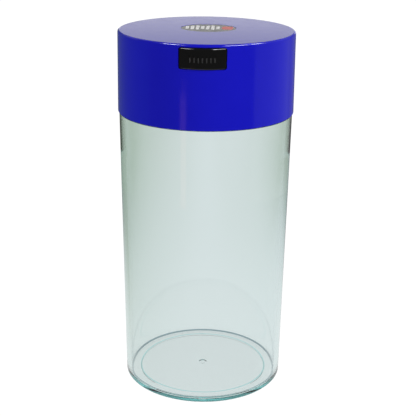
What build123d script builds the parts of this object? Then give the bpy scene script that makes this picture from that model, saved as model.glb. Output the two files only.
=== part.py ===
"""Clear vacuum storage canister with a deep push-on cap and a push-button air valve.

Frame: millimetres, +Z up, origin at the centre of the base. The button faces -Y.
A clear moulded container stands on a foot ring. Its neck is stepped in, so the cap's skirt slides over it.
Inside the cap, a plug carries a lip seal that rides in the neck, and a plate closes the container.
Pressing the button pushes two ramps under the valve's crossbar, which lifts a rubber disc off the air port.
"""

from build123d import *
import math
import os

# Overall sizes
TOTAL_HEIGHT = 254.0
CAP_HEIGHT = 55.4
CAP_TOP_RADIUS = 60.4
CAP_LIP_RADIUS = 60.75
CAP_EDGE_ROUND = 1.5
BASE_RADIUS = 57.2
SHOULDER_RADIUS = 59.9

# Container
WALL = 3.4
FLOOR_TOP = 3.4
FOOT_RECESS_RADIUS = 45.3
FOOT_RECESS_DEPTH = 0.4
FOOT_BEVEL_WIDTH = 1.2
FOOT_ROUND = 1.8
INNER_CORNER_ROUND = 0.7
GATE_MARK_RADIUS = 2.6
GATE_MARK_DEPTH = 0.35
GATE_MARK_SLOPE = 0.3
GATE_VESTIGE_RADIUS = 1.1
SEAT_GAP = 0.4
NECK_OUTER_RADIUS = 58.55
NECK_BORE_RADIUS = 57.05
NECK_TAPER = 0.2
NECK_HEIGHT = 32.8
NECK_CHAMFER = (0.3, 2.0)
FLARE_HEIGHT = 28.0
FLARE_RADIUS = 56.1
FLARE_ROUND = 40.0

# Cap shell
SKIRT_BORE_TOP = 58.7
SKIRT_BORE_LIP = 58.9
CAP_TOP_THICKNESS = 1.7
POST_RING_RADIUS = 47.0
POST_FIRST_ANGLE = 35.0
POST_SPREAD = 110.0
POST_RADIUS = 2.05
POST_HEADROOM = 3.0
BOSS_BORE_RADIUS = 2.1
BOSS_RADIUS = 3.8
BOSS_LENGTH = 14.0
LABEL_SIZE = (37.4, 33.0)
LABEL_CENTRE = (1.0, 6.2)
LABEL_THICKNESS = 0.18
LABEL_RECESS_DEPTH = 0.25
LABEL_MARGIN = 0.3

# Edge roundings
FINE_EDGE = 0.2
SMALL_EDGE = 0.3
SOFT_EDGE = 0.5

# Button and its window
WINDOW_WIDTH = 30.7
WINDOW_HEIGHT = 14.0
WINDOW_CORNER = 1.7
BUTTON_GAP = 0.35
BUTTON_PROUD = 1.8
BUTTON_CROWN_RADIUS = 32.0
BUTTON_EDGE_ROUND = 0.8
BUTTON_FACE_THICKNESS = 2.0
BUTTON_WALL = 1.1
BUTTON_TRAVEL = 4.5
FLANGE_RADIUS = 58.5
FLANGE_BACK_RADIUS = 56.7
FLANGE_HALF_WIDTH = 17.3
FLANGE_DROP = 1.8
BUTTON_HOLLOW_RADIUS = 50.0
GRIP_COUNT = 7
GRIP_STEP_ANGLE = 4.8
GRIP_WIDTH = 0.9
GRIP_HEIGHT = 4.6
GRIP_DEPTH = 0.4

# Seal carrier inside the cap
PLATE_THICKNESS = 2.0
PLATE_RADIUS = 58.3
PLUG_RADIUS = 55.6
PLUG_BORE_RADIUS = 53.5
PLUG_LIP_BORE_RADIUS = 51.3
PLUG_DEPTH = 17.0
PLUG_TAPER = 0.2
PLUG_LIP_SLOPE = (0.5, 2.5)
GROOVE_RADIUS = 53.3
GROOVE_HEIGHT = 6.0
GROOVE_LIP = 1.6
RIB_COUNT = 8
RIB_WIDTH = 1.2
RIB_DEPTH = 3.0
RIB_LENGTH = 42.0
RIB_MIDDLE_RADIUS = 33.0

# Lip seal
SEAL_RADIUS = 57.0
SEAL_CLEARANCE = 0.05
SEAL_BODY_RADIUS = 55.4
SEAL_END_RADIUS = 55.2
LIP_RISE = 1.4
LIP_TIP = 0.6
LIP_ROOT = 1.6
LIP_STEP = 2.9
LIP_ROUND = 0.15

# Air valve
VALVE_Y = -30.0
PORT_RADIUS = 2.4
SEAT_RING_RADIUS = 3.9
SEAT_HEIGHT = 0.8
DISC_RADIUS = 5.2
DISC_THICKNESS = 2.0
DISC_GAP = 0.1
DISC_FIT = 0.02
STEM_RADIUS = 2.5
STEM_FLANGE_RADIUS = 4.2
STEM_FLANGE_THICKNESS = 1.0
STEM_SPRING_NUB_RADIUS = 2.4
STEM_SPRING_NUB_HEIGHT = 1.0
BARB_RADIUS = 1.2
BARB_FLARE = 0.6
BARB_LENGTH = 2.2
BARB_GAP = 0.05
RAMP_ANGLE = 35.0
RAMP_GAP = 0.2
RAMP_LOW_THICKNESS = 1.6
ARM_INNER_X = 5.6
ARM_WIDTH = 2.2
ARM_FLOAT = 1.7
ARM_BACK = (-57.5, -60.0)
ARM_TIP = 2.5
ARM_SHELF = 6.0
ARM_HEAD_DROP = 3.0
ARM_FOOT_LIFT = 0.7
RAIL_GAP = 0.15
RAIL_MIDDLE_Y = -36.0
RAIL_LENGTH = 30.0
FENCE_X = 8.6
FENCE_MIDDLE_Y = -43.5
FENCE_SIZE = (1.0, 11.0)
FENCE_HEIGHT = 4.0
CROSSBAR_HALF_DEPTH = 2.5
CROSSBAR_HALF_WIDTH = 11.9
CROSSBAR_THICKNESS = 2.0
CHEEK_X = 9.5
CHEEK_THICKNESS = 2.0
GUIDE_HALF_DEPTH = 6.0
GUIDE_SCREW_X = 15.2
GUIDE_FOOT_X = 18.6
GUIDE_FOOT_THICKNESS = 2.0
GUIDE_CLEARANCE = 0.4
GUIDE_BRIDGE_THICKNESS = 1.9
GUIDE_TOP_ROUND = 0.8
GUIDE_SLOT_CLEARANCE = 0.2
GUIDE_SLOT_HEADROOM = 0.5
SCREW_HEAD_RADIUS = 2.0
SCREW_HEAD_HEIGHT = 1.4
SCREW_SHANK_RADIUS = 0.85
SCREW_LENGTH = 7.0
SCREW_FIT = 0.05
SCREW_CLEARANCE = 0.3
SCREW_CROSS_SIZE = (2.2, 0.5)
SCREW_CROSS_DEPTH = 0.9
SCREW_BOSS_RADIUS = 2.8
SCREW_BOSS_LENGTH = 5.0

# Springs and what holds them
WIRE_RADIUS = 0.3
SPRING_SLACK = 0.05
VALVE_SPRING_TURNS = 4.5
BUTTON_SPRING_TURNS = 7
VALVE_COIL_RADIUS = 3.2
BUTTON_COIL_RADIUS = 2.5
BUTTON_SPRING_X = 10.9
BUTTON_SPRING_Z = 245.0
SPRING_SEAT_Y = -56.5
SPRING_POST_Y = -44.0
SPRING_SEAT_RADIUS = 3.0
SPRING_SEAT_THICKNESS = 2.3
NUB_RADIUS = 2.0
NUB_LENGTH = 2.2
BUTTON_NUB_LENGTH = 2.5
BUTTON_NUB_OVERLAP = 2.0
SPRING_POST_X = 11.5
SPRING_POST_SIZE = (5.2, 2.0)
SPRING_POST_OVER_AXIS = 3.2
GUSSET_X = (-13.1, 11.7)
GUSSET_THICKNESS = 1.4
GUSSET_FOOT = 6.5
GUSSET_HEAD = 2.6

# Heights worked out from the driving sizes
SKIRT_BOTTOM = TOTAL_HEIGHT - CAP_HEIGHT
SHOULDER = SKIRT_BOTTOM - SEAT_GAP
RIM = SHOULDER + NECK_HEIGHT
CAP_CEILING = TOTAL_HEIGHT - CAP_TOP_THICKNESS
WINDOW_TOP = CAP_CEILING - 0.2
WINDOW_MIDDLE = WINDOW_TOP - WINDOW_HEIGHT / 2
BUTTON_TOP = WINDOW_TOP - BUTTON_GAP
BUTTON_HEIGHT = WINDOW_HEIGHT - 2 * BUTTON_GAP
BUTTON_BOTTOM = BUTTON_TOP - BUTTON_HEIGHT
BUTTON_HALF_WIDTH = WINDOW_WIDTH / 2 - BUTTON_GAP
BUTTON_FACE_Y = -CAP_TOP_RADIUS - BUTTON_PROUD
PLATE_BOTTOM = RIM + 0.5
PLATE_TOP = PLATE_BOTTOM + PLATE_THICKNESS
PLUG_BOTTOM = PLATE_BOTTOM - PLUG_DEPTH
GROOVE_BOTTOM = PLUG_BOTTOM + GROOVE_LIP
GROOVE_TOP = GROOVE_BOTTOM + GROOVE_HEIGHT
ARM_BOTTOM = PLATE_TOP + ARM_FLOAT
ARM_MIDDLE_X = ARM_INNER_X + ARM_WIDTH / 2
RAMP_SLOPE = math.tan(math.radians(RAMP_ANGLE))
RAMP_LOW = ARM_BOTTOM + RAMP_LOW_THICKNESS
RAMP_LOW_Y = VALVE_Y + CROSSBAR_HALF_DEPTH + 0.5
RAMP_HIGH_Y = VALVE_Y - CROSSBAR_HALF_DEPTH - BUTTON_TRAVEL - 0.5
RAMP_HIGH = RAMP_LOW + (RAMP_LOW_Y - RAMP_HIGH_Y) * RAMP_SLOPE
DISC_BOTTOM = PLATE_TOP + SEAT_HEIGHT + DISC_GAP
DISC_TOP = DISC_BOTTOM + DISC_THICKNESS
CROSSBAR_FRONT_Y = VALVE_Y - CROSSBAR_HALF_DEPTH
CROSSBAR_BACK_Y = VALVE_Y + CROSSBAR_HALF_DEPTH
CROSSBAR_FRONT = RAMP_LOW + (RAMP_LOW_Y - CROSSBAR_FRONT_Y) * RAMP_SLOPE + RAMP_GAP
CROSSBAR_BACK = RAMP_LOW + (RAMP_LOW_Y - CROSSBAR_BACK_Y) * RAMP_SLOPE + RAMP_GAP
CROSSBAR_TOP = CROSSBAR_FRONT + CROSSBAR_THICKNESS
GUIDE_TOP = CAP_CEILING - GUIDE_CLEARANCE
GUIDE_CEILING = GUIDE_TOP - GUIDE_BRIDGE_THICKNESS
GUIDE_FOOT_TOP = PLATE_TOP + GUIDE_FOOT_THICKNESS
CHEEK_OUTER_X = CHEEK_X + CHEEK_THICKNESS
VALVE_LIFT = BUTTON_TRAVEL * RAMP_SLOPE
VALVE_SPRING_HEIGHT = GUIDE_CEILING - CROSSBAR_TOP - 2 * (WIRE_RADIUS + SPRING_SLACK)
BUTTON_SPRING_LENGTH = SPRING_POST_Y - SPRING_SEAT_Y - 2 * (WIRE_RADIUS + SPRING_SLACK)
SPRING_POST_MIDDLE_Y = SPRING_POST_Y + SPRING_POST_SIZE[1] / 2

# Sketches on this plane look at the front: +X to the right and +Z up
FRONT = Plane(origin=(0, 0, 0), x_dir=(1, 0, 0), z_dir=(0, -1, 0))


def ring_profile(*corners):
    """Draws a closed outline in the X-Z half plane. Each corner is (radius, height, rounding)."""
    points = [(x, z) for x, z, _ in corners]
    FilletPolyline(*points, radius=[rounding for _, _, rounding in corners], close=True)


def front_slice(back_radius, half_width, face_radius, face_y):
    """Draws a straight-sided outline, seen from above, with a round back and a crowned face towards -Y."""
    back_y = -math.sqrt(back_radius**2 - half_width**2)
    side_y = face_y + face_radius - math.sqrt(face_radius**2 - half_width**2)
    ThreePointArc((-half_width, side_y), (0, face_y), (half_width, side_y))
    Line((half_width, side_y), (half_width, back_y))
    ThreePointArc((half_width, back_y), (0, -back_radius), (-half_width, back_y))
    Line((-half_width, back_y), (-half_width, side_y))


os.makedirs("parts", exist_ok=True)

# Container: one clear moulding with a foot ring, a tapered wall, a shoulder and a thinner neck
with BuildPart() as container:
    with BuildSketch(Plane.XZ):
        with BuildLine():
            ring_profile(
                (0, FOOT_RECESS_DEPTH - GATE_MARK_DEPTH, 0),
                (GATE_VESTIGE_RADIUS, FOOT_RECESS_DEPTH - GATE_MARK_DEPTH, 0),
                (GATE_VESTIGE_RADIUS + GATE_MARK_SLOPE, FOOT_RECESS_DEPTH, 0),
                (FOOT_RECESS_RADIUS, FOOT_RECESS_DEPTH, SOFT_EDGE),
                (FOOT_RECESS_RADIUS + FOOT_BEVEL_WIDTH, 0, SOFT_EDGE),
                (BASE_RADIUS, 0, FOOT_ROUND),
                (SHOULDER_RADIUS, SHOULDER, SMALL_EDGE),
                (NECK_OUTER_RADIUS, SHOULDER, FINE_EDGE),
                (NECK_OUTER_RADIUS - NECK_TAPER, RIM, SOFT_EDGE),
                (NECK_BORE_RADIUS + NECK_CHAMFER[0], RIM, SMALL_EDGE),
                (NECK_BORE_RADIUS, RIM - NECK_CHAMFER[1], 0),
                (NECK_BORE_RADIUS, SHOULDER, FLARE_ROUND),
                (FLARE_RADIUS, SHOULDER - FLARE_HEIGHT, FLARE_ROUND),
                (BASE_RADIUS - WALL, FLOOR_TOP, INNER_CORNER_ROUND),
                (GATE_MARK_RADIUS + GATE_MARK_SLOPE, FLOOR_TOP, 0),
                (GATE_MARK_RADIUS - GATE_MARK_SLOPE, FLOOR_TOP - GATE_MARK_DEPTH, FINE_EDGE),
                (0, FLOOR_TOP - GATE_MARK_DEPTH, 0),
            )
        make_face()
    revolve(axis=Axis.Z)
container.part.label = "container"
export_step(container.part, "parts/container.step")

# Cap shell: flat top and deep skirt, with four hollow bosses, the button's window and the label's recess
with BuildPart() as cap_shell:
    with BuildSketch(Plane.XZ):
        with BuildLine():
            ring_profile(
                (0, CAP_CEILING, 0),
                (SKIRT_BORE_TOP, CAP_CEILING, FINE_EDGE),
                (SKIRT_BORE_LIP, SKIRT_BOTTOM, SMALL_EDGE),
                (CAP_LIP_RADIUS, SKIRT_BOTTOM, SOFT_EDGE),
                (CAP_TOP_RADIUS, TOTAL_HEIGHT, CAP_EDGE_ROUND),
                (0, TOTAL_HEIGHT, 0),
            )
        make_face()
    revolve(axis=Axis.Z)
    with BuildSketch(Plane.XY.offset(CAP_CEILING - BOSS_LENGTH)):
        with PolarLocations(POST_RING_RADIUS, 2, POST_FIRST_ANGLE, 2 * POST_SPREAD):
            Circle(BOSS_RADIUS)
            Circle(BOSS_BORE_RADIUS, mode=Mode.SUBTRACT)
        mirror(about=Plane.XZ)
    extrude(amount=BOSS_LENGTH)
    with BuildSketch(FRONT.offset(BUTTON_HOLLOW_RADIUS)):
        with Locations((0, WINDOW_MIDDLE)):
            RectangleRounded(WINDOW_WIDTH, WINDOW_HEIGHT, WINDOW_CORNER)
    extrude(amount=CAP_LIP_RADIUS - BUTTON_HOLLOW_RADIUS + 1, mode=Mode.SUBTRACT)
    with BuildSketch(Plane.XY.offset(TOTAL_HEIGHT)):
        with Locations(LABEL_CENTRE):
            Ellipse(LABEL_SIZE[0] / 2 + LABEL_MARGIN, LABEL_SIZE[1] / 2 + LABEL_MARGIN)
    extrude(amount=-LABEL_RECESS_DEPTH, mode=Mode.SUBTRACT)
cap_shell.part.label = "cap_shell"
export_step(cap_shell.part, "parts/cap_shell.step")

# Label: a thin oval sticker in the recess of the cap's top
with BuildPart() as cap_label:
    with BuildSketch(Plane.XY.offset(TOTAL_HEIGHT - LABEL_RECESS_DEPTH)):
        with Locations(LABEL_CENTRE):
            Ellipse(LABEL_SIZE[0] / 2, LABEL_SIZE[1] / 2)
    extrude(amount=LABEL_THICKNESS)
cap_label.part.label = "cap_label"
export_step(cap_label.part, "parts/cap_label.step")

# Seal carrier: closing plate, plug wall with the seal's groove, posts, rails, spring posts and air port
with BuildPart() as seal_carrier:
    with BuildSketch(Plane.XZ):
        with BuildLine():
            ring_profile(
                (0, PLATE_TOP, 0),
                (PLATE_RADIUS, PLATE_TOP, SMALL_EDGE),
                (PLATE_RADIUS, PLATE_BOTTOM, SMALL_EDGE),
                (PLUG_RADIUS, PLATE_BOTTOM, SOFT_EDGE),
                (PLUG_RADIUS, GROOVE_TOP, 0),
                (GROOVE_RADIUS, GROOVE_TOP, FINE_EDGE),
                (GROOVE_RADIUS, GROOVE_BOTTOM, FINE_EDGE),
                (PLUG_RADIUS, GROOVE_BOTTOM, 0),
                (PLUG_RADIUS - PLUG_TAPER, PLUG_BOTTOM, SOFT_EDGE),
                (PLUG_LIP_BORE_RADIUS, PLUG_BOTTOM, SOFT_EDGE),
                (PLUG_LIP_BORE_RADIUS, GROOVE_TOP + PLUG_LIP_SLOPE[0], SOFT_EDGE),
                (PLUG_BORE_RADIUS, GROOVE_TOP + PLUG_LIP_SLOPE[1], SOFT_EDGE),
                (PLUG_BORE_RADIUS, PLATE_BOTTOM, 2 * SOFT_EDGE),
                (0, PLATE_BOTTOM, 0),
            )
        make_face()
    revolve(axis=Axis.Z)
    # Radial ribs stiffen the underside of the plate against the vacuum
    with BuildSketch(Plane.XY.offset(PLATE_BOTTOM - RIB_DEPTH)):
        with PolarLocations(RIB_MIDDLE_RADIUS, RIB_COUNT, 360.0 / RIB_COUNT / 2):
            Rectangle(RIB_LENGTH, RIB_WIDTH)
    extrude(amount=RIB_DEPTH)
    # Collars and posts that press into the cap shell's bosses
    with BuildSketch(Plane.XY.offset(PLATE_TOP)):
        with PolarLocations(POST_RING_RADIUS, 2, POST_FIRST_ANGLE, 2 * POST_SPREAD):
            Circle(BOSS_RADIUS)
        mirror(about=Plane.XZ)
    extrude(amount=CAP_CEILING - BOSS_LENGTH - PLATE_TOP)
    with BuildSketch(Plane.XY.offset(PLATE_TOP)):
        with PolarLocations(POST_RING_RADIUS, 2, POST_FIRST_ANGLE, 2 * POST_SPREAD):
            Circle(POST_RADIUS)
        mirror(about=Plane.XZ)
    extrude(amount=CAP_CEILING - PLATE_TOP - POST_HEADROOM)
    # Rails that carry the button's arms, with a guide fence outside each
    with BuildSketch(Plane.XY.offset(PLATE_TOP)):
        with Locations((-ARM_MIDDLE_X, RAIL_MIDDLE_Y), (ARM_MIDDLE_X, RAIL_MIDDLE_Y)):
            Rectangle(ARM_WIDTH, RAIL_LENGTH)
    extrude(amount=ARM_FLOAT - RAIL_GAP)
    with BuildSketch(Plane.XY.offset(PLATE_TOP)):
        with Locations((-FENCE_X, FENCE_MIDDLE_Y), (FENCE_X, FENCE_MIDDLE_Y)):
            Rectangle(*FENCE_SIZE)
    extrude(amount=FENCE_HEIGHT)
    # Upright posts behind the button springs, each with a gusset and a nub
    with BuildSketch(Plane.XY.offset(PLATE_TOP)):
        with Locations((-SPRING_POST_X, SPRING_POST_MIDDLE_Y), (SPRING_POST_X, SPRING_POST_MIDDLE_Y)):
            Rectangle(*SPRING_POST_SIZE)
    extrude(amount=BUTTON_SPRING_Z + SPRING_POST_OVER_AXIS - PLATE_TOP)
    with BuildSketch(Plane.YZ.offset(GUSSET_X[0]), Plane.YZ.offset(GUSSET_X[1])):
        with BuildLine():
            Polyline(
                (SPRING_POST_MIDDLE_Y, PLATE_TOP),
                (SPRING_POST_Y + GUSSET_FOOT, PLATE_TOP),
                (SPRING_POST_Y + GUSSET_HEAD, BUTTON_SPRING_Z + 1),
                (SPRING_POST_MIDDLE_Y, BUTTON_SPRING_Z + 1),
                close=True,
            )
        make_face()
    extrude(amount=GUSSET_THICKNESS)
    with BuildSketch(FRONT.offset(-SPRING_POST_Y)):
        with Locations((-BUTTON_SPRING_X, BUTTON_SPRING_Z), (BUTTON_SPRING_X, BUTTON_SPRING_Z)):
            Circle(NUB_RADIUS)
    extrude(amount=NUB_LENGTH)
    # Blind bosses under the plate for the valve guide's screws
    with BuildSketch(Plane.XY.offset(PLATE_BOTTOM - SCREW_BOSS_LENGTH)):
        with Locations((-GUIDE_SCREW_X, VALVE_Y), (GUIDE_SCREW_X, VALVE_Y)):
            Circle(SCREW_BOSS_RADIUS)
    extrude(amount=SCREW_BOSS_LENGTH)
    with Locations((-GUIDE_SCREW_X, VALVE_Y, PLATE_TOP), (GUIDE_SCREW_X, VALVE_Y, PLATE_TOP)):
        Hole(SCREW_SHANK_RADIUS + SCREW_FIT, depth=SCREW_LENGTH - 1)
    # Raised seat around the air port
    with BuildSketch(Plane.XY.offset(PLATE_TOP)):
        with Locations((0, VALVE_Y)):
            Circle(SEAT_RING_RADIUS)
    extrude(amount=SEAT_HEIGHT)
    with Locations((0, VALVE_Y, PLATE_TOP + SEAT_HEIGHT)):
        Hole(PORT_RADIUS, depth=PLATE_THICKNESS + SEAT_HEIGHT + 1)
seal_carrier.part.label = "seal_carrier"
export_step(seal_carrier.part, "parts/seal_carrier.step")

# Lip seal: a base that fills the groove, and two lips that lean up and out to the neck's bore
with BuildPart() as lip_seal:
    with BuildSketch(Plane.XZ):
        with BuildLine():
            ring_profile(
                (GROOVE_RADIUS + SEAL_CLEARANCE, GROOVE_BOTTOM + SEAL_CLEARANCE, LIP_ROUND),
                (SEAL_END_RADIUS, GROOVE_BOTTOM + SEAL_CLEARANCE, FINE_EDGE),
                (SEAL_RADIUS, GROOVE_BOTTOM + LIP_RISE, LIP_ROUND),
                (SEAL_RADIUS, GROOVE_BOTTOM + LIP_RISE + LIP_TIP, LIP_ROUND),
                (SEAL_BODY_RADIUS, GROOVE_BOTTOM + LIP_ROOT, FINE_EDGE),
                (SEAL_BODY_RADIUS, GROOVE_BOTTOM + LIP_STEP, FINE_EDGE),
                (SEAL_RADIUS, GROOVE_BOTTOM + LIP_STEP + LIP_RISE, LIP_ROUND),
                (SEAL_RADIUS, GROOVE_BOTTOM + LIP_STEP + LIP_RISE + LIP_TIP, LIP_ROUND),
                (SEAL_BODY_RADIUS, GROOVE_BOTTOM + LIP_STEP + LIP_ROOT, FINE_EDGE),
                (SEAL_END_RADIUS, GROOVE_TOP - SEAL_CLEARANCE, FINE_EDGE),
                (GROOVE_RADIUS + SEAL_CLEARANCE, GROOVE_TOP - SEAL_CLEARANCE, LIP_ROUND),
            )
        make_face()
    revolve(axis=Axis.Z)
lip_seal.part.label = "lip_seal"
export_step(lip_seal.part, "parts/lip_seal.step")

# Push button: curved face, flange that stays behind the skirt, spring seats and two ramped arms
with BuildPart() as push_button:
    with BuildSketch(Plane.XY.offset(BUTTON_BOTTOM)):
        with BuildLine():
            front_slice(FLANGE_BACK_RADIUS, BUTTON_HALF_WIDTH, BUTTON_CROWN_RADIUS, BUTTON_FACE_Y)
        make_face()
    extrude(amount=BUTTON_HEIGHT)
    fillet(edges().filter_by(Axis.Y), WINDOW_CORNER - BUTTON_GAP)
    fillet(faces().filter_by(GeomType.CYLINDER).sort_by(SortBy.AREA)[-1].edges(), BUTTON_EDGE_ROUND)
    with BuildSketch(Plane.XY.offset(BUTTON_BOTTOM - FLANGE_DROP)):
        with BuildLine():
            front_slice(FLANGE_BACK_RADIUS, FLANGE_HALF_WIDTH, FLANGE_RADIUS, -FLANGE_RADIUS)
        make_face()
    extrude(amount=BUTTON_HEIGHT + FLANGE_DROP)
    # The back is hollow
    with BuildSketch(Plane.XY.offset(BUTTON_BOTTOM + BUTTON_WALL)):
        with BuildLine():
            front_slice(
                BUTTON_HOLLOW_RADIUS,
                BUTTON_HALF_WIDTH - BUTTON_WALL,
                BUTTON_CROWN_RADIUS - BUTTON_FACE_THICKNESS,
                BUTTON_FACE_Y + BUTTON_FACE_THICKNESS,
            )
        make_face()
    extrude(amount=BUTTON_HEIGHT - 2 * BUTTON_WALL, mode=Mode.SUBTRACT)
    # Grip grooves across the face
    with BuildSketch(Plane.XY.offset(WINDOW_MIDDLE - GRIP_HEIGHT / 2)):
        with Locations((0, BUTTON_FACE_Y + BUTTON_CROWN_RADIUS)):
            with PolarLocations(
                BUTTON_CROWN_RADIUS,
                GRIP_COUNT,
                270.0 - GRIP_STEP_ANGLE * (GRIP_COUNT - 1) / 2,
                GRIP_STEP_ANGLE * GRIP_COUNT,
            ):
                Rectangle(2 * GRIP_DEPTH, GRIP_WIDTH)
    extrude(amount=GRIP_HEIGHT, mode=Mode.SUBTRACT)
    # Spring seats, each with a nub
    with BuildSketch(FRONT.offset(-SPRING_SEAT_Y)):
        with Locations((-BUTTON_SPRING_X, BUTTON_SPRING_Z), (BUTTON_SPRING_X, BUTTON_SPRING_Z)):
            Circle(SPRING_SEAT_RADIUS)
    extrude(amount=SPRING_SEAT_THICKNESS)
    with BuildSketch(FRONT.offset(-SPRING_SEAT_Y - BUTTON_NUB_OVERLAP)):
        with Locations((-BUTTON_SPRING_X, BUTTON_SPRING_Z), (BUTTON_SPRING_X, BUTTON_SPRING_Z)):
            Circle(NUB_RADIUS)
    extrude(amount=BUTTON_NUB_LENGTH)
    # Arms with the ramps that lift the valve
    with BuildSketch(Plane.YZ.offset(-ARM_MIDDLE_X), Plane.YZ.offset(ARM_MIDDLE_X)):
        with BuildLine():
            Polyline(
                (ARM_BACK[0], ARM_BOTTOM),
                (RAMP_LOW_Y + ARM_TIP, ARM_BOTTOM),
                (RAMP_LOW_Y + ARM_TIP, RAMP_LOW),
                (RAMP_LOW_Y, RAMP_LOW),
                (RAMP_HIGH_Y, RAMP_HIGH),
                (RAMP_HIGH_Y - ARM_SHELF, RAMP_HIGH),
                (ARM_BACK[1], BUTTON_TOP - ARM_HEAD_DROP),
                (ARM_BACK[1], BUTTON_BOTTOM + ARM_FOOT_LIFT),
                (ARM_BACK[0], BUTTON_BOTTOM + ARM_FOOT_LIFT),
                close=True,
            )
        make_face()
    extrude(amount=ARM_WIDTH / 2, both=True)
push_button.part.label = "push_button"
export_step(push_button.part, "parts/push_button.step")

# Valve stem: a crossbar that rests on the ramps, a round stem, a flange over the disc and a barb below it
with BuildPart() as valve_stem:
    with BuildSketch(Plane.YZ):
        with BuildLine():
            Polyline(
                (CROSSBAR_FRONT_Y, CROSSBAR_FRONT),
                (CROSSBAR_BACK_Y, CROSSBAR_BACK),
                (CROSSBAR_BACK_Y, CROSSBAR_TOP),
                (CROSSBAR_FRONT_Y, CROSSBAR_TOP),
                close=True,
            )
        make_face()
    extrude(amount=CROSSBAR_HALF_WIDTH, both=True)
    with BuildSketch(Plane(origin=(0, VALVE_Y, 0), x_dir=(1, 0, 0), z_dir=(0, -1, 0))):
        with BuildLine():
            Polyline(
                (0, DISC_BOTTOM - BARB_LENGTH),
                (BARB_RADIUS, DISC_BOTTOM - BARB_LENGTH),
                (BARB_RADIUS + BARB_FLARE, DISC_BOTTOM - BARB_FLARE),
                (BARB_RADIUS + BARB_FLARE, DISC_BOTTOM - BARB_GAP),
                (BARB_RADIUS, DISC_BOTTOM - BARB_GAP),
                (BARB_RADIUS, DISC_TOP),
                (STEM_FLANGE_RADIUS, DISC_TOP),
                (STEM_FLANGE_RADIUS, DISC_TOP + STEM_FLANGE_THICKNESS),
                (STEM_RADIUS, DISC_TOP + STEM_FLANGE_THICKNESS),
                (STEM_RADIUS, CROSSBAR_TOP),
                (STEM_SPRING_NUB_RADIUS, CROSSBAR_TOP),
                (STEM_SPRING_NUB_RADIUS, CROSSBAR_TOP + STEM_SPRING_NUB_HEIGHT),
                (0, CROSSBAR_TOP + STEM_SPRING_NUB_HEIGHT),
                close=True,
            )
        make_face()
    revolve(axis=Axis((0, VALVE_Y, 0), (0, 0, 1)))
valve_stem.part.label = "valve_stem"
export_step(valve_stem.part, "parts/valve_stem.step")

# Valve disc: soft rubber washer that closes the air port
with BuildPart() as valve_disc:
    with BuildSketch(Plane.XY.offset(DISC_BOTTOM)):
        with Locations((0, VALVE_Y)):
            Circle(DISC_RADIUS)
            Circle(BARB_RADIUS + DISC_FIT, mode=Mode.SUBTRACT)
    extrude(amount=DISC_THICKNESS - DISC_FIT)
    fillet(edges().group_by(SortBy.LENGTH)[-1], SMALL_EDGE)
valve_disc.part.label = "valve_disc"
export_step(valve_disc.part, "parts/valve_disc.step")

# Valve guide: two slotted cheeks that steer the crossbar, joined by a bridge, with a screwed foot each side
with BuildPart() as valve_guide:
    with BuildSketch(FRONT.offset(-VALVE_Y)):
        with BuildLine():
            Polyline(
                (CHEEK_X, PLATE_TOP),
                (GUIDE_FOOT_X, PLATE_TOP),
                (GUIDE_FOOT_X, GUIDE_FOOT_TOP),
                (CHEEK_OUTER_X, GUIDE_FOOT_TOP),
                (CHEEK_OUTER_X, GUIDE_TOP),
                (-CHEEK_OUTER_X, GUIDE_TOP),
                (-CHEEK_OUTER_X, GUIDE_FOOT_TOP),
                (-GUIDE_FOOT_X, GUIDE_FOOT_TOP),
                (-GUIDE_FOOT_X, PLATE_TOP),
                (-CHEEK_X, PLATE_TOP),
                (-CHEEK_X, GUIDE_CEILING),
                (CHEEK_X, GUIDE_CEILING),
                close=True,
            )
        make_face()
    extrude(amount=GUIDE_HALF_DEPTH, both=True)
    fillet(edges().filter_by(Axis.Y).group_by(Axis.Z)[-1], GUIDE_TOP_ROUND)
    with BuildSketch(Plane.YZ.offset(-CHEEK_OUTER_X)):
        with Locations((VALVE_Y, PLATE_TOP)):
            Rectangle(
                2 * (CROSSBAR_HALF_DEPTH + GUIDE_SLOT_CLEARANCE),
                CROSSBAR_TOP + VALVE_LIFT + GUIDE_SLOT_HEADROOM - PLATE_TOP,
                align=(Align.CENTER, Align.MIN),
            )
    extrude(amount=2 * CHEEK_OUTER_X, mode=Mode.SUBTRACT)
    with BuildSketch(Plane.XY.offset(GUIDE_CEILING - STEM_SPRING_NUB_HEIGHT)):
        with Locations((0, VALVE_Y)):
            Circle(STEM_SPRING_NUB_RADIUS)
    extrude(amount=STEM_SPRING_NUB_HEIGHT + GUIDE_BRIDGE_THICKNESS / 2)
    with Locations(
        (-GUIDE_SCREW_X, VALVE_Y, GUIDE_FOOT_TOP),
        (GUIDE_SCREW_X, VALVE_Y, GUIDE_FOOT_TOP),
    ):
        Hole(SCREW_SHANK_RADIUS + SCREW_CLEARANCE, depth=GUIDE_FOOT_THICKNESS)
valve_guide.part.label = "valve_guide"
export_step(valve_guide.part, "parts/valve_guide.step")

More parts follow.
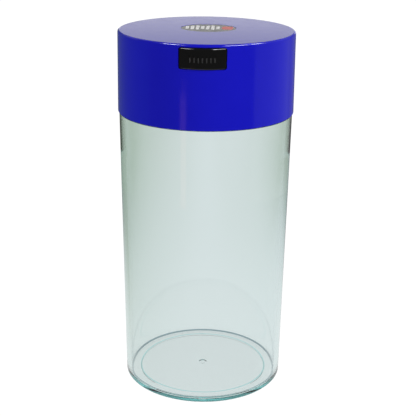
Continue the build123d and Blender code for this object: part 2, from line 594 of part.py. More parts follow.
# Guide screws: two pan-head self-tapping screws with a cross recess
with BuildPart() as guide_screws:
    with BuildSketch(Plane.XY.offset(GUIDE_FOOT_TOP)):
        with Locations((-GUIDE_SCREW_X, VALVE_Y), (GUIDE_SCREW_X, VALVE_Y)):
            Circle(SCREW_HEAD_RADIUS)
    extrude(amount=SCREW_HEAD_HEIGHT)
    fillet(edges().filter_by(GeomType.CIRCLE).group_by(Axis.Z)[-1], SOFT_EDGE)
    with BuildSketch(Plane.XY.offset(GUIDE_FOOT_TOP)):
        with Locations((-GUIDE_SCREW_X, VALVE_Y), (GUIDE_SCREW_X, VALVE_Y)):
            Circle(SCREW_SHANK_RADIUS)
    extrude(amount=-SCREW_LENGTH)
    with BuildSketch(Plane.XY.offset(GUIDE_FOOT_TOP + SCREW_HEAD_HEIGHT)):
        with Locations((-GUIDE_SCREW_X, VALVE_Y), (GUIDE_SCREW_X, VALVE_Y)):
            Rectangle(*SCREW_CROSS_SIZE)
            Rectangle(*reversed(SCREW_CROSS_SIZE))
    extrude(amount=-SCREW_CROSS_DEPTH, mode=Mode.SUBTRACT)
guide_screws.part.label = "guide_screws"
export_step(guide_screws.part, "parts/guide_screws.step")

# Valve spring: pushes the crossbar down from the guide's bridge
with BuildPart() as valve_spring:
    with BuildLine() as valve_coil:
        Helix(
            pitch=VALVE_SPRING_HEIGHT / VALVE_SPRING_TURNS,
            height=VALVE_SPRING_HEIGHT,
            radius=VALVE_COIL_RADIUS,
            center=(0, VALVE_Y, CROSSBAR_TOP + WIRE_RADIUS + SPRING_SLACK),
        )
    with BuildSketch(Plane(origin=valve_coil.line @ 0, z_dir=valve_coil.line % 0)):
        Circle(WIRE_RADIUS)
    sweep(is_frenet=True)
valve_spring.part.label = "valve_spring"
export_step(valve_spring.part, "parts/valve_spring.step")

# Button springs: two alike, which push the button forward from the carrier's posts
with BuildPart() as button_spring_left:
    with BuildLine() as button_coil:
        Helix(
            pitch=BUTTON_SPRING_LENGTH / BUTTON_SPRING_TURNS,
            height=BUTTON_SPRING_LENGTH,
            radius=BUTTON_COIL_RADIUS,
            center=(-BUTTON_SPRING_X, SPRING_SEAT_Y + WIRE_RADIUS + SPRING_SLACK, BUTTON_SPRING_Z),
            direction=(0, 1, 0),
        )
    with BuildSketch(Plane(origin=button_coil.line @ 0, z_dir=button_coil.line % 0)):
        Circle(WIRE_RADIUS)
    sweep(is_frenet=True)
button_spring_left.part.label = "button_spring_left"
export_step(button_spring_left.part, "parts/button_spring_left.step")

with BuildPart() as button_spring_right:
    with Locations((2 * BUTTON_SPRING_X, 0, 0)):
        add(button_spring_left.part)
button_spring_right.part.label = "button_spring_right"
export_step(button_spring_right.part, "parts/button_spring_right.step")
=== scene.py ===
"""Looks of the clear vacuum storage canister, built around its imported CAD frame."""

import math

import bmesh
import bpy
from mathutils import Matrix, Vector


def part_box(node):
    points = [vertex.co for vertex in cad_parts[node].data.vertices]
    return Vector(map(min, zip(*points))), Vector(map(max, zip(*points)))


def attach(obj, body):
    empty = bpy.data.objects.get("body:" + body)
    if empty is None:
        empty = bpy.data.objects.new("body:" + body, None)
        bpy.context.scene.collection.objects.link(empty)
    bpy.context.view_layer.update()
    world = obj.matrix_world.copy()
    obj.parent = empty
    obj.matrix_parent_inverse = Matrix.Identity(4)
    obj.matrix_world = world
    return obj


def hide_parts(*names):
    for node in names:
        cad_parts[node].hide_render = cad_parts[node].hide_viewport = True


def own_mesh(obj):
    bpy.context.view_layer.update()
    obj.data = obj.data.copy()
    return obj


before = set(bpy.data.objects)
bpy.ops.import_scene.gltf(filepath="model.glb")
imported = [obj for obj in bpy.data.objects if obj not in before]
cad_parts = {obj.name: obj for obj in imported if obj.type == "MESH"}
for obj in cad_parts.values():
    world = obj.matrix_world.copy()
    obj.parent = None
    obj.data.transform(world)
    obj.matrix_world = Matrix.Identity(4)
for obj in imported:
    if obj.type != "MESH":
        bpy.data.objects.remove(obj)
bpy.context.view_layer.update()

MM = 0.001

# Places read from the frame
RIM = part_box("container")[1].z
cap_low, cap_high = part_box("cap_shell")
label_low, label_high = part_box("cap_label")
button_low, button_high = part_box("push_button")
seal_low, seal_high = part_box("lip_seal")
TOP = cap_high.z
SHOULDER = cap_low.z - 0.4 * MM  # the cap's skirt stops just above the container's shoulder

# Radii and heights of the clear body
BASE_RADIUS = 57.2 * MM
SHOULDER_RADIUS = 59.9 * MM
NECK_RADIUS = 58.55 * MM
RIM_RADIUS = 58.35 * MM
BORE_RADIUS = 57.05 * MM
WALL = 3.4 * MM
FLOOR_TOP = 3.4 * MM
FLOOR_DIMPLE = 3.05 * MM
FOOT_RADIUS = 46.5 * MM  # inside of the foot ring
FOOT_RECESS = 0.4 * MM
GATE_RADIUS = 1.1 * MM  # of the gate mark under the floor
GATE_LOW = 0.05 * MM
DIMPLE_RADIUS = 2.3 * MM  # of the floor's dimple above it
LEAD_IN_WIDTH = 0.3 * MM  # at the bore's mouth
LEAD_IN_HEIGHT = 2 * MM
BLEND_RADIUS = 56.1 * MM  # where the bore flows into the tapered wall
BLEND_DEPTH = 28 * MM
BLEND_ROUNDING = 40 * MM


# ---------------------------------------------------------------- mesh tools

ROUND_STEPS = 256  # columns in a turned piece
ARC_STEP = math.radians(9)  # turn between two points of a rounded corner
SAME_POINT = 1e-9
ON_AXIS = 1e-7


def turn(vector, angle):
    """A 2-D vector turned to the left by an angle."""
    c, s = math.cos(angle), math.sin(angle)
    return Vector((vector.x * c - vector.y * s, vector.x * s + vector.y * c))


def outline(corners):
    """Rounds a closed outline of (radius, height, rounding) corners, anticlockwise.

    Returns its short straight steps as (start, start normal, end, end normal).
    The normals are true along the arcs.
    """
    points = [Vector((r, z)) for r, z, _ in corners]
    count = len(points)
    rounded = []
    for i, (_, _, rounding) in enumerate(corners):
        before = (points[i] - points[i - 1]).normalized()
        after = (points[(i + 1) % count] - points[i]).normalized()
        if rounding == 0:
            rounded.append([(points[i], before), (points[i], after)])
            continue
        angle = math.atan2(before.x * after.y - before.y * after.x, before.dot(after))
        side = math.copysign(1, angle)
        start = points[i] - before * rounding * math.tan(abs(angle) / 2)
        centre = start + turn(before, side * math.pi / 2) * rounding
        steps = max(2, math.ceil(abs(angle) / ARC_STEP))
        arc = []
        for k in range(steps + 1):
            along = turn(before, angle * k / steps)
            arc.append((centre - turn(along, side * math.pi / 2) * rounding, along))
        rounded.append(arc)
    steps = []
    for i in range(count):
        arc = rounded[i]
        if (arc[0][0] - arc[-1][0]).length > SAME_POINT:
            for (a, along_a), (b, along_b) in zip(arc, arc[1:]):
                steps.append((a, turn(along_a, -math.pi / 2), b, turn(along_b, -math.pi / 2)))
        a, b = arc[-1][0], rounded[(i + 1) % count][0][0]
        if (b - a).length > SAME_POINT:
            normal = turn((b - a).normalized(), -math.pi / 2)
            steps.append((a, normal, b, normal))
    return steps


def add_object(name, data):
    obj = bpy.data.objects.new(name, data)
    bpy.context.scene.collection.objects.link(obj)
    return obj


def lathe(name, corners):
    """Turns a closed outline about Z, with exact shading normals."""
    angles = [2 * math.pi * c / ROUND_STEPS for c in range(ROUND_STEPS + 1)]
    around = [(math.cos(a), math.sin(a)) for a in angles]
    rows = {}
    verts = []

    def row(point):
        """The vertices of one level ring. A ring on the axis is a single vertex."""
        key = (round(point.x, 9), round(point.y, 9))
        if key not in rows:
            if point.x < ON_AXIS:
                rows[key] = [len(verts)] * ROUND_STEPS
                verts.append((0, 0, point.y))
            else:
                rows[key] = list(range(len(verts), len(verts) + ROUND_STEPS))
                verts.extend((point.x * x, point.x * y, point.y) for x, y in around[:-1])
        return rows[key]

    faces, normals = [], []
    for start, start_normal, end, end_normal in outline(corners):
        if start.x < ON_AXIS and end.x < ON_AXIS:
            continue
        low, high = row(start), row(end)
        for c in range(ROUND_STEPS):
            d = (c + 1) % ROUND_STEPS
            face = {}
            for vertex, normal, column in (
                (low[c], start_normal, c),
                (low[d], start_normal, c + 1),
                (high[d], end_normal, c + 1),
                (high[c], end_normal, c),
            ):
                face.setdefault(vertex, (normal, column))
            faces.append(list(face))
            for normal, column in face.values():
                x, y = around[column]
                normals.append((normal.x * x, normal.x * y, normal.y))
    mesh = bpy.data.meshes.new(name)
    mesh.from_pydata(verts, [], faces)
    mesh.polygons.foreach_set("use_smooth", [True] * len(faces))
    mesh.normals_split_custom_set(normals)
    mesh.update()
    return add_object(name, mesh)


# ---------------------------------------------------------------- materials


class Nodes:
    """A node tree, with short calls for the nodes that this script uses."""

    def __init__(self, tree, coordinates):
        self.tree = tree
        self.place = self.add("ShaderNodeTexCoord").outputs[coordinates]

    def feed(self, socket, value):
        """Gives a socket a value, or another node's output."""
        if isinstance(value, bpy.types.NodeSocket):
            self.tree.links.new(value, socket)
        else:
            socket.default_value = value

    def add(self, kind, **inputs):
        """A new node. Its inputs are named as in Blender, with _ for a space."""
        node = self.tree.nodes.new(kind)
        for name, value in inputs.items():
            self.feed(node.inputs[name.replace("_", " ")], value)
        return node

    def operate(self, kind, operation, *values):
        """A new Math or Vector Math node."""
        node = self.add(kind)
        node.operation = operation
        for socket, value in zip(node.inputs, values):
            self.feed(socket, value)
        return node

    def math(self, operation, a, b):
        return self.operate("ShaderNodeMath", operation, a, b).outputs[0]

    def every(self, mask, *others):
        """1 where all the masks are 1."""
        for other in others:
            mask = self.math("MULTIPLY", mask, other)
        return mask

    def ramp(self, value, start, end, low=0.0, high=1.0, smooth=False):
        """Maps start to end onto low to high, and stays level outside."""
        node = self.add("ShaderNodeMapRange", Value=value)
        for name, number in zip(("From Min", "From Max", "To Min", "To Max"), (start, end, low, high)):
            node.inputs[name].default_value = number
        if smooth:
            node.interpolation_type = "SMOOTHSTEP"
        return node.outputs["Result"]

    def span(self, value, low, high, soft):
        """1 where a value lies between low and high, and 0 outside."""
        return self.every(self.ramp(value, low - soft, low), self.ramp(value, high, high + soft, 1, 0))

    def mix(self, mask, colour, other):
        """One colour where a mask is 0, and the other where it is 1."""
        node = self.add("ShaderNodeMix")
        node.data_type = "RGBA"
        for socket, value in ((0, mask), (6, colour), (7, other)):
            self.feed(node.inputs[socket], value)
        return node.outputs[2]

    def along(self, axis):
        """How far a place is along the X, Y or Z axis."""
        return self.add("ShaderNodeSeparateXYZ", Vector=self.place).outputs[axis]

    def axis_distance(self, y=0.0):
        """How far a place is from the upright line through (0, y)."""
        kind = "ShaderNodeVectorMath"
        shifted = self.operate(kind, "SUBTRACT", self.place, (0, y, 0)).outputs["Vector"]
        level = self.operate(kind, "MULTIPLY", shifted, (1, 1, 0)).outputs["Vector"]
        return self.operate(kind, "LENGTH", level).outputs["Value"]


class Look(Nodes):
    """A Principled material with procedural detail in the object's own coordinates."""

    NOISE_SPAN = (0.3, 0.7)  # most of the noise lies between these
    NOISE_DETAIL = 3.0

    def __init__(self, name, colour, roughness, **sockets):
        self.material = bpy.data.materials.new(name)
        self.material.use_nodes = True
        super().__init__(self.material.node_tree, "Object")
        self.shader = self.tree.nodes["Principled BSDF"]
        self.shader.inputs["Base Color"].default_value = (*colour, 1)
        self.shader.inputs["Roughness"].default_value = roughness
        for socket, value in sockets.items():
            self.shader.inputs[socket.replace("_", " ")].default_value = value

    def noise(self, size):
        """Noise with features of that size, in metres, as a 0 to 1 value."""
        place = self.add("ShaderNodeMapping", Vector=self.place, Scale=[1 / size] * 3).outputs["Vector"]
        node = self.add("ShaderNodeTexNoise", Vector=place, Scale=1.0, Detail=self.NOISE_DETAIL)
        return node.outputs["Fac"]

    def vary_roughness(self, size, low, high):
        self.feed(self.shader.inputs["Roughness"], self.ramp(self.noise(size), *self.NOISE_SPAN, low, high))

    def vary_colour(self, size, other):
        """Drifts between the look's colour and another."""
        self.mark(self.ramp(self.noise(size), *self.NOISE_SPAN), other)

    def texture(self, size, height):
        """Surface relief of that size and height, in metres."""
        node = self.add("ShaderNodeBump", Strength=1.0, Distance=height, Height=self.noise(size))
        self.feed(self.shader.inputs["Normal"], node.outputs["Normal"])

    def mark(self, mask, other):
        """Gives the places under a mask another colour. Calls add up."""
        base = self.shader.inputs["Base Color"]
        under = base.links[0].from_socket if base.links else tuple(base.default_value)
        self.feed(base, self.mix(mask, under, (*other, 1)))

    def absorb(self, colour, density):
        """Tints the light that goes through the solid."""
        node = self.add("ShaderNodeVolumeAbsorption", Color=(*colour, 1), Density=density)
        self.feed(self.tree.nodes["Material Output"].inputs["Volume"], node.outputs["Volume"])


clear_plastic = Look("clear_plastic", (1, 1, 1), 0.0, Transmission_Weight=1.0, IOR=1.57)
clear_plastic.absorb((0.10, 0.73, 0.73), 16.7)
clear_plastic.vary_roughness(30 * MM, 0.0, 0.02)
clear_plastic.texture(18 * MM, 0.004 * MM)
# The floor's upper face carries two painted rings. A dark ring in its corner with the wall is painted
# shade, and a thin aqua ring further in is painted colour standing in for light that runs through the thick
# base
BAND_EDGE = 0.1 * MM
on_floor = clear_plastic.span(
    clear_plastic.along("Z"), FLOOR_TOP - 0.2 * MM, FLOOR_TOP + 0.6 * MM, BAND_EDGE
)
for inner, outer, painted_colour in (
    # painted shade: the dark ring in the corner with the wall
    (52.5 * MM, 54.2 * MM, (0.10, 0.18, 0.22)),
    # painted light: the aqua ring, for light that runs through the thick base
    (45.9 * MM, 46.9 * MM, (0.35, 0.80, 0.80)),
):
    painted_ring = clear_plastic.span(clear_plastic.axis_distance(), inner, outer, BAND_EDGE)
    clear_plastic.mark(clear_plastic.every(painted_ring, on_floor), painted_colour)

blue_plastic = Look("blue_plastic", (0.004, 0.004, 0.43), 0.12)
blue_plastic.vary_colour(25 * MM, (0.005, 0.005, 0.45))
blue_plastic.vary_roughness(6 * MM, 0.10, 0.15)
blue_plastic.texture(0.6 * MM, 0.0015 * MM)

black_plastic = Look("black_plastic", (0.002, 0.002, 0.002), 0.12)
black_plastic.vary_roughness(2 * MM, 0.09, 0.16)
black_plastic.texture(0.4 * MM, 0.002 * MM)
# Dust greys the button's grip grooves, which lie just under its crowned face
CROWN_RADIUS = 32 * MM
GRIP_HALF_WIDTH = 11 * MM
GRIP_HALF_HEIGHT = 2.3 * MM
GRIP_FRONT, GRIP_BACK = -70 * MM, -58 * MM
GRIP_EDGE = 0.2 * MM
button_middle = (button_low.z + button_high.z) / 2
from_crown = black_plastic.axis_distance(button_low.y + CROWN_RADIUS)
groove = black_plastic.every(
    black_plastic.ramp(from_crown, CROWN_RADIUS - 0.25 * MM, CROWN_RADIUS - 0.1 * MM, 1, 0),
    black_plastic.span(black_plastic.along("X"), -GRIP_HALF_WIDTH, GRIP_HALF_WIDTH, GRIP_EDGE),
    black_plastic.span(black_plastic.along("Y"), GRIP_FRONT, GRIP_BACK, GRIP_EDGE),
    black_plastic.span(
        black_plastic.along("Z"),
        button_middle - GRIP_HALF_HEIGHT,
        button_middle + GRIP_HALF_HEIGHT,
        GRIP_EDGE,
    ),
)
black_plastic.mark(groove, (0.06, 0.06, 0.06))

white_plastic = Look("white_plastic", (0.74, 0.75, 0.76), 0.35)
white_plastic.vary_colour(12 * MM, (0.79, 0.80, 0.80))
white_plastic.vary_roughness(3 * MM, 0.30, 0.42)
white_plastic.texture(0.5 * MM, 0.004 * MM)

black_rubber = Look("black_rubber", (0.014, 0.014, 0.015), 0.45)
black_rubber.vary_roughness(2 * MM, 0.38, 0.55)
black_rubber.texture(0.3 * MM, 0.006 * MM)

valve_plastic = Look("valve_plastic", (0.045, 0.10, 0.42), 0.35)
valve_plastic.vary_roughness(2 * MM, 0.28, 0.42)
valve_plastic.texture(0.4 * MM, 0.004 * MM)

valve_rubber = Look("valve_rubber", (0.55, 0.55, 0.53), 0.4, Subsurface_Weight=0.3)
valve_rubber.vary_roughness(2 * MM, 0.35, 0.5)
valve_rubber.texture(0.3 * MM, 0.004 * MM)

spring_steel = Look("spring_steel", (0.55, 0.56, 0.58), 0.25, Metallic=1.0)
spring_steel.vary_roughness(1 * MM, 0.18, 0.34)
spring_steel.texture(0.2 * MM, 0.002 * MM)

screw_steel = Look("screw_steel", (0.62, 0.62, 0.63), 0.3, Metallic=1.0)
screw_steel.vary_roughness(1 * MM, 0.22, 0.4)
screw_steel.texture(0.25 * MM, 0.003 * MM)

label_vinyl = Look("label_vinyl", (0.12, 0.12, 0.11), 0.3)
label_vinyl.vary_colour(4 * MM, (0.15, 0.15, 0.14))
label_vinyl.vary_roughness(3 * MM, 0.24, 0.36)
label_vinyl.texture(0.5 * MM, 0.003 * MM)

print_white = Look("print_white", (0.91, 0.91, 0.90), 0.25)
print_white.vary_colour(2 * MM, (0.97, 0.97, 0.96))
print_white.vary_roughness(1 * MM, 0.3, 0.42)
print_white.texture(0.3 * MM, 0.002 * MM)

print_red = Look("print_red", (0.66, 0.09, 0.08), 0.35)
print_red.vary_colour(2 * MM, (0.74, 0.13, 0.11))
print_red.vary_roughness(1 * MM, 0.3, 0.42)
print_red.texture(0.3 * MM, 0.002 * MM)


def paint(obj, look):
    obj.data.materials.clear()
    obj.data.materials.append(look.material)


def dress(obj, body, look, slot, *nodes):
    """Puts a piece on its body with its material, in place of the CAD nodes it stands for."""
    paint(obj, look)
    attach(obj, body)
    if nodes:
        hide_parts(*nodes)
    return obj


# ---------------------------------------------------------------- container

container = lathe(
    "container_body",
    [
        (0, GATE_LOW, 0),
        (GATE_RADIUS, GATE_LOW, 0.15 * MM),
        (GATE_RADIUS + 0.3 * MM, FOOT_RECESS, 0.1 * MM),
        (FOOT_RADIUS - 0.3 * MM, FOOT_RECESS, 0.1 * MM),
        (FOOT_RADIUS, 0, 0.1 * MM),
        (BASE_RADIUS, 0, 1.8 * MM),
        (SHOULDER_RADIUS, SHOULDER, 0.3 * MM),
        (NECK_RADIUS, SHOULDER, 0.2 * MM),
        (RIM_RADIUS, RIM, 0.5 * MM),
        (BORE_RADIUS + LEAD_IN_WIDTH, RIM, 0.3 * MM),
        (BORE_RADIUS, RIM - LEAD_IN_HEIGHT, 1 * MM),
        (BORE_RADIUS, SHOULDER, BLEND_ROUNDING),
        (BLEND_RADIUS, SHOULDER - BLEND_DEPTH, BLEND_ROUNDING),
        (BASE_RADIUS - WALL, FLOOR_TOP, 0.7 * MM),
        (DIMPLE_RADIUS + 0.6 * MM, FLOOR_TOP, 0.2 * MM),
        (DIMPLE_RADIUS, FLOOR_DIMPLE, 0.2 * MM),
        (0, FLOOR_DIMPLE, 0),
    ],
)
dress(container, "container", clear_plastic, "clear_plastic", "container")

# ---------------------------------------------------------------- lip seal

SEAL_INNER_RADIUS = 53.35 * MM
SEAL_RADIUS = 55.2 * MM
LIP_RADIUS = 57.0 * MM
LIP_ROOT_RADIUS = 55.4 * MM
LIP_SPACING = 2.9 * MM


def lip(foot):
    """The edge of one lip of the seal, and its root above."""
    return [
        (LIP_RADIUS, foot + 1.4 * MM, 0.15 * MM),
        (LIP_RADIUS, foot + 2.0 * MM, 0.15 * MM),
        (LIP_ROOT_RADIUS, foot + 1.6 * MM, 0.2 * MM),
    ]


lower_lip = seal_low.z - 0.05 * MM
upper_lip = lower_lip + LIP_SPACING
seal = lathe(
    "seal_ring",
    [
        (SEAL_INNER_RADIUS, seal_low.z, 0.15 * MM),
        (SEAL_RADIUS, seal_low.z, 0.2 * MM),
        *lip(lower_lip),
        (LIP_ROOT_RADIUS, upper_lip, 0.2 * MM),
        *lip(upper_lip),
        (SEAL_RADIUS, seal_high.z, 0.2 * MM),
        (SEAL_INNER_RADIUS, seal_high.z, 0.15 * MM),
    ],
)
dress(seal, "seal_ring", black_rubber, "black_rubber", "lip_seal")

# ---------------------------------------------------------------- springs

WIRE_RADIUS = 0.3 * MM
WIRE_SIDES = 10
TURN_STEPS = 28
CLOSED_PITCH = 2.1 * WIRE_RADIUS


def coil(name, node, along, turns):
    """A spring with closed ends that fills the box of its CAD node, along axis 0, 1 or 2.

    Returns the spring and the box's lowest and highest corners.
    """
    low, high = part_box(node)
    middle = (low + high) / 2
    across = (along + 1) % 3
    axis = Vector([float(k == along) for k in range(3)])
    side = Vector([float(k == across) for k in range(3)])
    other = axis.cross(side)
    length = high[along] - low[along]
    radius = (high - low)[across] / 2 - WIRE_RADIUS
    open_pitch = (length - 2 * WIRE_RADIUS - 2 * CLOSED_PITCH) / (turns - 2)
    count = turns * TURN_STEPS
    verts, faces = [], []
    for k in range(count + 1):
        turned = k / TURN_STEPS
        closed = min(turned, 1) + max(0, turned - turns + 1)
        rise = WIRE_RADIUS + closed * CLOSED_PITCH + (turned - closed) * open_pitch
        a = 2 * math.pi * turned
        out = side * math.cos(a) + other * math.sin(a)
        centre = middle + axis * (rise - length / 2) + out * radius
        for j in range(WIRE_SIDES):
            b = 2 * math.pi * j / WIRE_SIDES
            verts.append(centre + (out * math.cos(b) + axis * math.sin(b)) * WIRE_RADIUS)
    for k in range(count):
        ring, following = k * WIRE_SIDES, (k + 1) * WIRE_SIDES
        for j in range(WIRE_SIDES):
            i = (j + 1) % WIRE_SIDES
            faces.append((ring + j, ring + i, following + i, following + j))
    faces.append(tuple(range(WIRE_SIDES)))
    faces.append(tuple(count * WIRE_SIDES + j for j in reversed(range(WIRE_SIDES))))
    mesh = bpy.data.meshes.new(name)
    mesh.from_pydata(verts, [], faces)
    mesh.polygons.foreach_set("use_smooth", [len(f) == 4 for f in faces])
    bm = bmesh.new()
    bm.from_mesh(mesh)
    bmesh.ops.recalc_face_normals(bm, faces=bm.faces)
    bm.to_mesh(mesh)
    bm.free()
    return dress(add_object(name, mesh), "cap", spring_steel, "spring_steel", node), low, high


for hand in ("left", "right"):
    spring, low, high = coil("press_coil_" + hand, "button_spring_" + hand, along=1, turns=7)
    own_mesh(spring)
spring, low, high = coil("valve_coil", "valve_spring", along=2, turns=5)
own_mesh(spring)

# ---------------------------------------------------------------- label


def pad(name, points, low, high, edge):
    """A thin flat piece with a soft upper edge."""
    centre = sum((Vector(p) for p in points), Vector((0, 0))) / len(points)
    verts = []
    for inset, z in ((0, low), (0, high - edge), (edge, high)):
        for p in points:
            out = Vector(p) - centre
            verts.append((*(centre + out * (1 - inset / out.length)), z))
    count = len(points)
    faces = [tuple(reversed(range(count))), tuple(range(2 * count, 3 * count))]
    for ring in (0, count):
        for k in range(count):
            j = (k + 1) % count
            faces.append((ring + k, ring + j, ring + count + j, ring + count + k))
    mesh = bpy.data.meshes.new(name)
    mesh.from_pydata(verts, [], faces)
    return add_object(name, mesh)


OVAL_STEPS = 96


def oval(x, y, half_width, half_depth, power=2.0):
    """An ellipse, or with a higher power a rectangle with soft corners."""
    points = []
    for k in range(OVAL_STEPS):
        a = 2 * math.pi * k / OVAL_STEPS
        c, s = math.cos(a), math.sin(a)
        px = math.copysign(abs(c) ** (2 / power), c) * half_width
        py = math.copysign(abs(s) ** (2 / power), s) * half_depth
        points.append((x + px, y + py))
    return points


label_centre = (label_low + label_high) / 2
label_half = (label_high - label_low) / 2
shape = oval(label_centre.x, label_centre.y, label_half.x, label_half.y)
sticker = pad("label_sticker", shape, label_low.z, label_high.z, 0.06 * MM)
dress(sticker, "cap", label_vinyl, "label_vinyl", "cap_label")

# Plain bars and a patch stand in for the label's print
PRINT_LEVELS = (label_high.z - 0.02 * MM, label_high.z + 0.03 * MM, 0.01 * MM)  # low, high, soft edge
BAR_COUNT = 7
BAR_START = -14.6 * MM  # from the label's middle
BAR_SPACING = 3.5 * MM
BAR_HALF_WIDTH = 1.15 * MM
BAR_HALF_DEPTHS = (5.6 * MM, 7.4 * MM, 8.2 * MM)  # taken in turn
BAR_POWER, PATCH_POWER = 8, 3.2
for k in range(BAR_COUNT):
    x = label_centre.x + BAR_START + BAR_SPACING * k
    half_depth = BAR_HALF_DEPTHS[k % len(BAR_HALF_DEPTHS)]
    shape = oval(x, label_centre.y + 1.6 * MM, BAR_HALF_WIDTH, half_depth, BAR_POWER)
    dress(pad("label_bar_%d" % (k + 1), shape, *PRINT_LEVELS), "cap", print_white, "label_vinyl")
shape = oval(label_centre.x + 12.9 * MM, label_centre.y + 1.0 * MM, 3.9 * MM, 6.4 * MM, PATCH_POWER)
dress(pad("label_patch", shape, *PRINT_LEVELS), "cap", print_red, "label_vinyl")

# ---------------------------------------------------------------- CAD nodes that stay

for node, look in {
    "cap_shell": blue_plastic,
    "seal_carrier": white_plastic,
    "push_button": black_plastic,
    "valve_stem": valve_plastic,
    "valve_disc": valve_rubber,
    "valve_guide": white_plastic,
    "guide_screws": screw_steel,
}.items():
    paint(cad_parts[node], look)

# ---------------------------------------------------------------- studio

WHITE = (1, 1, 1)


class Glow(Nodes):
    """A surface of plain light for the studio, graded by its own coordinates."""

    def __init__(self, name, colour, strength):
        self.material = bpy.data.materials.new(name)
        self.material.use_nodes = True
        super().__init__(self.material.node_tree, "Object")
        self.tree.nodes.remove(self.tree.nodes["Principled BSDF"])
        self.light = self.add("ShaderNodeEmission", Color=(*colour, 1), Strength=strength)
        self.feed(self.tree.nodes["Material Output"].inputs["Surface"], self.light.outputs["Emission"])

    def grade(self, mask, colour, other):
        self.feed(self.light.inputs["Color"], self.mix(mask, (*colour, 1), (*other, 1)))


def hide_from(obj, *rays):
    """Keeps a studio piece out of some kinds of light path."""
    for kind in rays:
        setattr(obj, "visible_" + kind, False)


FLOOR_REACH = 6.0
FLOOR_LEVEL = -0.3 * MM
SHEET_GAP = 0.1 * MM


def sheet(name, z, glow):
    """A wide level sheet of light under the canister."""
    mesh = bpy.data.meshes.new(name)
    corners = [(x * FLOOR_REACH, y * FLOOR_REACH, z) for x, y in ((-1, -1), (1, -1), (1, 1), (-1, 1))]
    mesh.from_pydata(corners, [], [(0, 1, 2, 3)])
    mesh.materials.append(glow.material)
    obj = add_object(name, mesh)
    return obj


# The floor is three sheets. The camera sees a plain white one. Through the canister a pale one shows,
# which is darker on the left and at the back right. Surfaces are lit by, and mirror, one that fades
# out towards the cards.
floor = sheet("floor", FLOOR_LEVEL, Glow("floor", WHITE, 1.05))
hide_from(floor, "diffuse", "glossy", "transmission", "volume_scatter")

through = Glow("floor_through", WHITE, 1.0)
left_side = through.ramp(through.along("X"), 0.0, -0.22, smooth=True)
right_back = through.every(
    through.ramp(through.along("X"), 0.0, 0.25, smooth=True),
    through.ramp(through.along("Y"), 0.2, 0.5, smooth=True),
)
greyed = through.math("MAXIMUM", left_side, right_back)
through.grade(greyed, (0.76, 0.80, 0.80), (0.48, 0.55, 0.475))
floor_through = sheet("floor_through", FLOOR_LEVEL + SHEET_GAP, through)
hide_from(floor_through, "camera", "diffuse", "glossy")

mirrored = Glow("floor_mirrored", WHITE, 1.0)
faded = mirrored.ramp(mirrored.axis_distance(), 0.08, 0.44, smooth=True)
mirrored.grade(faded, (0.85, 0.85, 0.85), (0.13, 0.13, 0.13))
floor_mirrored = sheet("floor_mirrored", FLOOR_LEVEL + 2 * SHEET_GAP, mirrored)
hide_from(floor_mirrored, "camera", "transmission")

CARD_RADIUS = 0.45
CARD_HEIGHT = 0.42
CARD_STEP = 5  # degrees between two edges of a curved card
STRIP_RADIUS = 0.44  # the strip stands in front of the others
STRIP_HEIGHT = 0.14


def card(name, start, end, radius, height, colour, strength):
    """A curved studio card, from one azimuth to another. 0 is in front, and positive is to the right.

    It lights surfaces and shows in reflections. The camera doesn't see it, even through the canister.
    """
    steps = max(2, math.ceil(abs(end - start) / CARD_STEP))
    verts, faces = [], []
    for k in range(steps + 1):
        a = math.radians(start + (end - start) * k / steps)
        for z in (0, height):
            verts.append((radius * math.sin(a), -radius * math.cos(a), z))
    for k in range(steps):
        faces.append((2 * k, 2 * k + 1, 2 * k + 3, 2 * k + 2))
    mesh = bpy.data.meshes.new(name)
    mesh.from_pydata(verts, [], faces)
    mesh.materials.append(Glow(name, colour, strength).material)
    obj = add_object(name, mesh)
    hide_from(obj, "camera", "transmission", "shadow")


card("card_front", -70, 62, CARD_RADIUS, CARD_HEIGHT, WHITE, 0.12)
card("card_left", -160, -70, CARD_RADIUS, CARD_HEIGHT, (0.8, 1.0, 0.8), 0.15)
card("card_right", 62, 128, CARD_RADIUS, CARD_HEIGHT, WHITE, 0.30)
card("card_right_back", 128, 155, CARD_RADIUS, CARD_HEIGHT, WHITE, 0.20)
card("card_strip", -28, -21, STRIP_RADIUS, STRIP_HEIGHT, (1.0, 0.5, 0.4), 0.75)

# Bright behind and low, dim in front, a little light on the right; the camera sees plain white
FRONT_LIGHT = 0.12
LOW_SKY = (math.sin(math.radians(8)), math.sin(math.radians(10.4)))
world = bpy.data.worlds.new("studio")
bpy.context.scene.world = world
world.use_nodes = True
sky = Nodes(world.node_tree, "Generated")
behind = sky.ramp(sky.along("Y"), 0.0, 0.6, smooth=True)
low_down = sky.ramp(sky.along("Z"), *LOW_SKY, 1.0, 0.3, smooth=True)
right_side = sky.ramp(sky.along("X"), 0.4, 0.9, 0.0, 0.25, smooth=True)
back_light = sky.math("MULTIPLY", behind, low_down)
studio_light = sky.math("ADD", back_light, sky.math("ADD", right_side, FRONT_LIGHT))
for_camera = sky.add("ShaderNodeLightPath").outputs["Is Camera Ray"]
background = world.node_tree.nodes["Background"]
background.inputs["Strength"].default_value = 1.0
sky.feed(background.inputs["Color"], sky.math("MAXIMUM", studio_light, for_camera))

LAMP_DISTANCE = 1.2


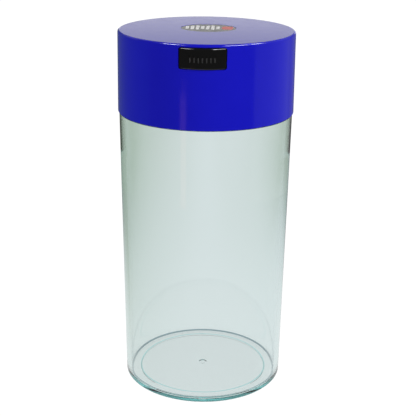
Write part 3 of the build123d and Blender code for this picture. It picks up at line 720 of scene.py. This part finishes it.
def softbox(name, azimuth, elevation, width, height, watts, *unseen_by):
    """A rectangular lamp that faces the cap. Azimuth 0 is in front, and positive is to the right."""
    lamp = bpy.data.lights.new(name, "AREA")
    lamp.shape = "RECTANGLE"
    lamp.size, lamp.size_y = width, height
    lamp.energy = watts
    obj = add_object(name, lamp)
    a, e = math.radians(azimuth), math.radians(elevation)
    way = Vector((math.sin(a) * math.cos(e), -math.cos(a) * math.cos(e), math.sin(e)))
    obj.location = Vector((0, 0, TOP)) + way * LAMP_DISTANCE
    obj.rotation_mode = "QUATERNION"
    obj.rotation_quaternion = (-way).to_track_quat("-Z", "Y")
    hide_from(obj, *unseen_by)


softbox("key_left", -45, 18, 0.4, 0.3, 9, "glossy", "transmission")
softbox("key_right", 62, 18, 0.4, 0.3, 14, "glossy", "transmission")
softbox("edge_left", -50, 45, 0.45, 0.3, 11, "diffuse", "transmission")
softbox("edge_right", 47, 45, 0.5, 0.3, 12, "diffuse", "transmission")
softbox("edge_far_right", 84, 45, 0.3, 0.3, 8, "diffuse", "transmission")

# The camera stands a little to the right of the button and looks down at the canister, rolled slightly
CAMERA_AZIMUTH = math.radians(2.3)
CAMERA_DISTANCE = 678.9 * MM
CAMERA_HEIGHT = 362.3 * MM
CAMERA_PITCH = math.radians(19.20)
CAMERA_YAW = math.radians(0.206)
CAMERA_ROLL = math.radians(0.765)
CAMERA_LENS = 86.5
CAMERA_SENSOR = 36

heading = CAMERA_AZIMUTH - CAMERA_YAW
forward = Vector((-math.sin(heading), math.cos(heading), 0)) * math.cos(CAMERA_PITCH)
forward.z = -math.sin(CAMERA_PITCH)
right = forward.cross(Vector((0, 0, 1))).normalized()
up = right.cross(forward)
right, up = (
    right * math.cos(CAMERA_ROLL) + up * math.sin(CAMERA_ROLL),
    up * math.cos(CAMERA_ROLL) - right * math.sin(CAMERA_ROLL),
)
camera_data = bpy.data.cameras.new("camera")
camera_data.lens = CAMERA_LENS
camera_data.sensor_width = CAMERA_SENSOR
camera_data.clip_start = 0.01
camera = add_object("camera", camera_data)
axes = Matrix((right, up, -forward)).transposed().to_4x4()
place = Vector((math.sin(CAMERA_AZIMUTH), -math.cos(CAMERA_AZIMUTH), 0)) * CAMERA_DISTANCE
place.z = CAMERA_HEIGHT
camera.matrix_world = Matrix.Translation(place) @ axes
bpy.context.scene.camera = camera
bpy.context.scene.view_settings.view_transform = "Standard"

# Light runs many times along the clear walls before it comes out
LIGHT_BOUNCES = 24
cycles = bpy.context.scene.cycles
cycles.max_bounces = LIGHT_BOUNCES
cycles.glossy_bounces = LIGHT_BOUNCES
cycles.transmission_bounces = LIGHT_BOUNCES
